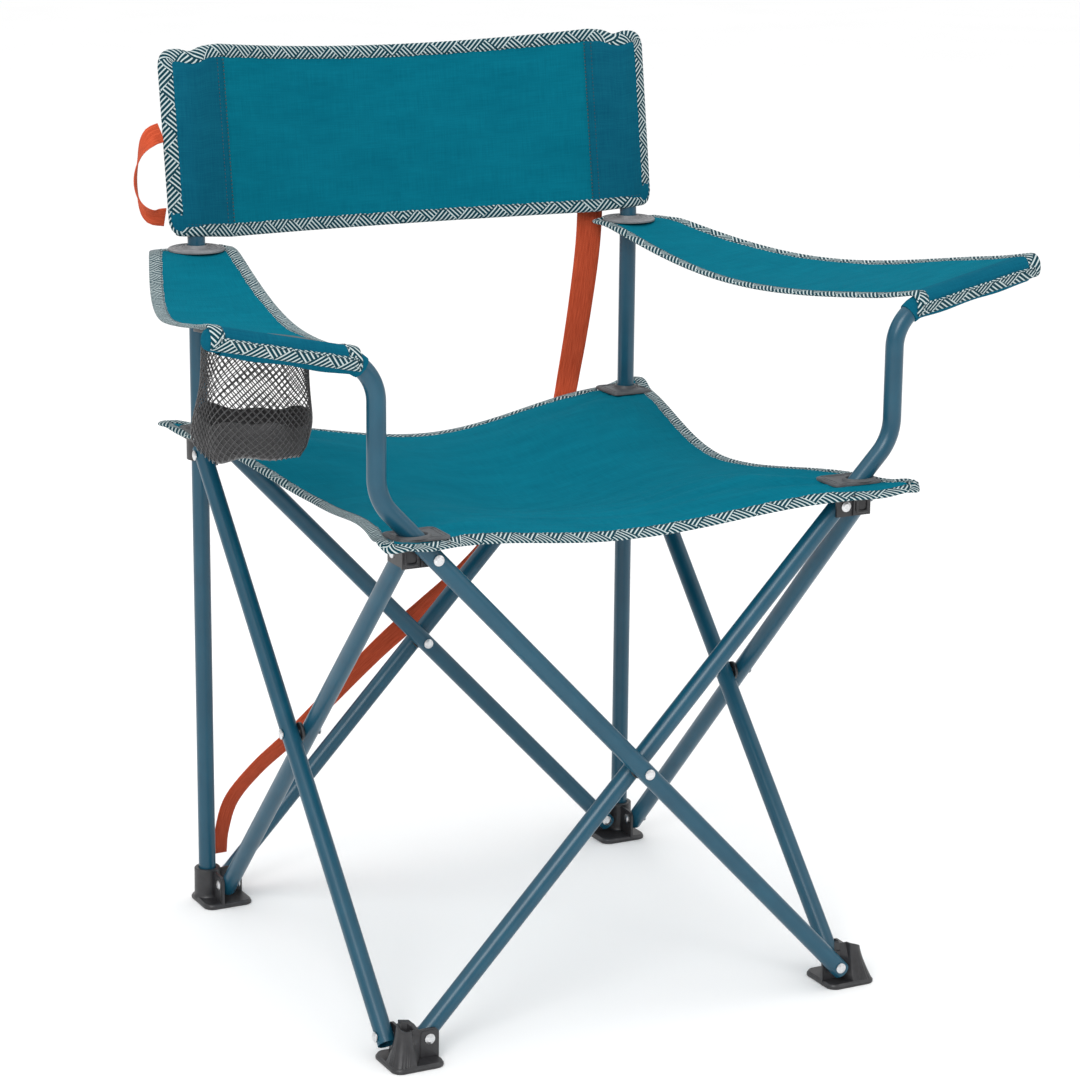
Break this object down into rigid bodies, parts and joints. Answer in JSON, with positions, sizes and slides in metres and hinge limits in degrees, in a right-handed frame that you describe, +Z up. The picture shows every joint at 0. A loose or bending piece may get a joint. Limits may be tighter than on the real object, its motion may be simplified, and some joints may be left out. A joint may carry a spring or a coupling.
{
  "type": "folding camping armchair",
  "caption": "Camping armchair with scissor tube sides that fold to a bundle, cloth seat, back and arms, and a mesh cup holder in one arm.",
  "frame": {"origin": "on the floor, under the middle of the chair's box", "axes": "+Z up, -Y towards the front of the chair, +X towards the sitter's left hand"},
  "size_m": [0.7842, 0.5382, 0.806],
  "materials": {
    "tube": "satin powder coat",
    "moulding": "moulded, fine texture",
    "bright_steel": "bright rivet heads",
    "corner_plate": "moulded",
    "cloth": "woven polyester",
    "dark_cloth": "woven polyester, two layers",
    "binding": "woven binding tape",
    "webbing": "woven webbing",
    "net": "knitted net"
  },
  "bodies": {
    "root": {"rear_left_foot": "moulding", "rear_left_foot_rivets": "bright_steel", "rear_left_pole": "tube", "rear_left_pole_cap": "moulding", "rear_left_stop_pin": "bright_steel", "left_arm_ring": "corner_plate", "long_strap": "webbing"},
    "rear_outer_tube": {"rear_outer_tube": "tube", "rear_cross_rivet": "bright_steel", "rear_cross_spacer": "moulding"},
    "rear_inner_tube": {"rear_inner_tube": "tube"},
    "rear_right_foot": {"rear_right_foot": "moulding", "rear_right_foot_rivets": "bright_steel", "rear_right_pole": "tube", "rear_right_pole_cap": "moulding", "rear_right_stop_pin": "bright_steel", "right_arm_ring": "corner_plate"},
    "rear_left_slider": {"rear_left_slider": "moulding", "rear_left_slider_rivets": "bright_steel", "rear_left_seat_plate": "corner_plate"},
    "rear_right_slider": {"rear_right_slider": "moulding", "rear_right_slider_rivets": "bright_steel", "rear_right_seat_plate": "corner_plate"},
    "left_inner_tube": {"left_inner_tube": "tube", "left_cross_rivet": "bright_steel", "left_cross_spacer": "moulding"},
    "left_outer_tube": {"left_outer_tube": "tube"},
    "front_left_foot": {"front_left_foot": "moulding", "front_left_foot_rivets": "bright_steel"},
    "front_left_bracket": {"front_left_bracket": "moulding", "front_left_bracket_rivets": "bright_steel", "front_left_seat_plate": "corner_plate"},
    "right_outer_tube": {"right_outer_tube": "tube", "right_cross_rivet": "bright_steel", "right_cross_spacer": "moulding"},
    "right_inner_tube": {"right_inner_tube": "tube"},
    "front_right_foot": {"front_right_foot": "moulding", "front_right_foot_rivets": "bright_steel"},
    "front_right_bracket": {"front_right_bracket": "moulding", "front_right_bracket_rivets": "bright_steel", "front_right_seat_plate": "corner_plate"},
    "right_arm_tube": {"right_arm_tube": "tube", "right_arm_cap": "moulding", "front_cross_rivet": "bright_steel", "front_cross_spacer": "moulding"},
    "left_arm_tube": {"left_arm_tube": "tube", "left_arm_cap": "moulding"},
    "seat_front": {"seat_front": "cloth"},
    "seat_rear": {"seat_rear": "cloth"},
    "back_left": {"back_left_panel": "cloth", "back_left_sleeve": "dark_cloth", "strap_loop": "webbing"},
    "back_right": {"back_right_panel": "cloth", "back_right_sleeve": "dark_cloth"},
    "left_armrest": {"left_armrest": "cloth", "left_arm_sleeve": "dark_cloth", "cup_ring": "corner_plate", "cup_bag": "net"},
    "right_armrest": {"right_armrest": "cloth", "right_arm_sleeve": "dark_cloth"}
  },
  "joints": [
    {"name": "fold", "type": "hinge", "parent": "root", "child": "rear_outer_tube", "pos_m": [-0.198, 0.2119, 0.021], "axis": [0, -1, 0], "range_deg": [0, 36.41], "deforming": ["long_strap"]},
    {"name": "rear_cross", "type": "hinge", "parent": "rear_outer_tube", "child": "rear_inner_tube", "pos_m": [0, 0.2024, 0.2305], "axis": [0, 1, 0], "range_deg": [0, 72.84]},
    {"name": "rear_right_foot_pivot", "type": "hinge", "parent": "rear_inner_tube", "child": "rear_right_foot", "pos_m": [0.198, 0.1929, 0.021], "axis": [0, -1, 0], "range_deg": [0, 36.43]},
    {"name": "rear_left_slider_pivot", "type": "hinge", "parent": "rear_inner_tube", "child": "rear_left_slider", "pos_m": [-0.198, 0.1929, 0.44], "axis": [0, -1, 0], "range_deg": [0, 36.43]},
    {"name": "rear_right_slider_pivot", "type": "hinge", "parent": "rear_outer_tube", "child": "rear_right_slider", "pos_m": [0.198, 0.2119, 0.44], "axis": [0, 1, 0], "range_deg": [0, 36.43]},
    {"name": "left_inner_pivot", "type": "hinge", "parent": "root", "child": "left_inner_tube", "pos_m": [-0.2105, 0.1804, 0.021], "axis": [-1, 0, 0], "range_deg": [0, 36.43]},
    {"name": "left_cross", "type": "hinge", "parent": "left_inner_tube", "child": "left_outer_tube", "pos_m": [-0.22, -0.0176, 0.2305], "axis": [1, 0, 0], "range_deg": [0, 72.84]},
    {"name": "front_left_foot_pivot", "type": "hinge", "parent": "left_outer_tube", "child": "front_left_foot", "pos_m": [-0.2295, -0.2156, 0.021], "axis": [-1, 0, 0], "range_deg": [0, 36.43]},
    {"name": "front_left_bracket_pivot", "type": "hinge", "parent": "left_inner_tube", "child": "front_left_bracket", "pos_m": [-0.2105, -0.2156, 0.44], "axis": [1, 0, 0], "range_deg": [0, 36.43]},
    {"name": "right_outer_pivot", "type": "hinge", "parent": "rear_right_foot", "child": "right_outer_tube", "pos_m": [0.2295, 0.1804, 0.021], "axis": [-1, 0, 0], "range_deg": [0, 36.43]},
    {"name": "right_cross", "type": "hinge", "parent": "right_outer_tube", "child": "right_inner_tube", "pos_m": [0.22, -0.0176, 0.2305], "axis": [1, 0, 0], "range_deg": [0, 72.84]},
    {"name": "front_right_foot_pivot", "type": "hinge", "parent": "right_inner_tube", "child": "front_right_foot", "pos_m": [0.2105, -0.2156, 0.021], "axis": [-1, 0, 0], "range_deg": [0, 36.43]},
    {"name": "front_right_bracket_pivot", "type": "hinge", "parent": "right_outer_tube", "child": "front_right_bracket", "pos_m": [0.2295, -0.2156, 0.44], "axis": [1, 0, 0], "range_deg": [0, 36.43]},
    {"name": "right_arm_pivot", "type": "hinge", "parent": "front_left_foot", "child": "right_arm_tube", "pos_m": [-0.198, -0.2281, 0.021], "axis": [0, -1, 0], "range_deg": [0, 36.43]},
    {"name": "front_cross", "type": "hinge", "parent": "right_arm_tube", "child": "left_arm_tube", "pos_m": [0, -0.2376, 0.2305], "axis": [0, 1, 0], "range_deg": [0, 72.84]},
    {"name": "seat_front_swing", "type": "hinge", "parent": "front_left_bracket", "child": "seat_front", "pos_m": [-0.22, -0.2376, 0.4566], "axis": [-1, 0, 0], "range_deg": [0, 75], "deforming": ["seat_front"]},
    {"name": "seat_rear_swing", "type": "hinge", "parent": "rear_left_slider", "child": "seat_rear", "pos_m": [-0.22, 0.2024, 0.4566], "axis": [1, 0, 0], "range_deg": [0, 75], "deforming": ["seat_rear"]},
    {"name": "back_left_swing", "type": "hinge", "parent": "root", "child": "back_left", "pos_m": [-0.223, 0.2054, 0.634], "axis": [0, 0.1513, 0.9885], "range_deg": [0, 64.97], "deforming": ["back_left_panel", "back_left_sleeve", "strap_loop"]},
    {"name": "back_right_swing", "type": "hinge", "parent": "rear_right_foot", "child": "back_right", "pos_m": [0.223, 0.2054, 0.634], "axis": [0, -0.1513, -0.9885], "range_deg": [0, 64.97], "deforming": ["back_right_panel", "back_right_sleeve"]},
    {"name": "left_armrest_swing", "type": "hinge", "parent": "left_arm_tube", "child": "left_armrest", "pos_m": [-0.326, -0.2471, 0.62079], "axis": [-0.977, 0, 0.213], "range_deg": [0, 52.64], "deforming": ["left_armrest", "left_arm_sleeve", "cup_ring", "cup_bag"]},
    {"name": "right_armrest_swing", "type": "hinge", "parent": "right_arm_tube", "child": "right_armrest", "pos_m": [0.326, -0.2281, 0.62079], "axis": [-0.977, 0, -0.213], "range_deg": [0, 57.32], "deforming": ["right_armrest", "right_arm_sleeve"]}
  ],
  "couplings": [
    {"joint": "rear_cross", "follows": "fold", "ratio": 2},
    {"joint": "rear_right_foot_pivot", "follows": "fold", "ratio": 1},
    {"joint": "rear_left_slider_pivot", "follows": "fold", "ratio": 1},
    {"joint": "rear_right_slider_pivot", "follows": "fold", "ratio": 1},
    {"joint": "left_inner_pivot", "follows": "fold", "ratio": 1},
    {"joint": "left_cross", "follows": "fold", "ratio": 2},
    {"joint": "front_left_foot_pivot", "follows": "fold", "ratio": 1},
    {"joint": "front_left_bracket_pivot", "follows": "fold", "ratio": 1},
    {"joint": "right_outer_pivot", "follows": "fold", "ratio": 1},
    {"joint": "right_cross", "follows": "fold", "ratio": 2},
    {"joint": "front_right_foot_pivot", "follows": "fold", "ratio": 1},
    {"joint": "front_right_bracket_pivot", "follows": "fold", "ratio": 1},
    {"joint": "right_arm_pivot", "follows": "fold", "ratio": 1},
    {"joint": "front_cross", "follows": "fold", "ratio": 2},
    {"joint": "seat_front_swing", "follows": "fold", "ratio": 2.0594},
    {"joint": "seat_rear_swing", "follows": "fold", "ratio": 2.0594},
    {"joint": "back_left_swing", "follows": "fold", "ratio": 1.7838},
    {"joint": "back_right_swing", "follows": "fold", "ratio": 1.7838},
    {"joint": "left_armrest_swing", "follows": "fold", "ratio": 1.4453},
    {"joint": "right_armrest_swing", "follows": "fold", "ratio": 1.5738}
  ]
}
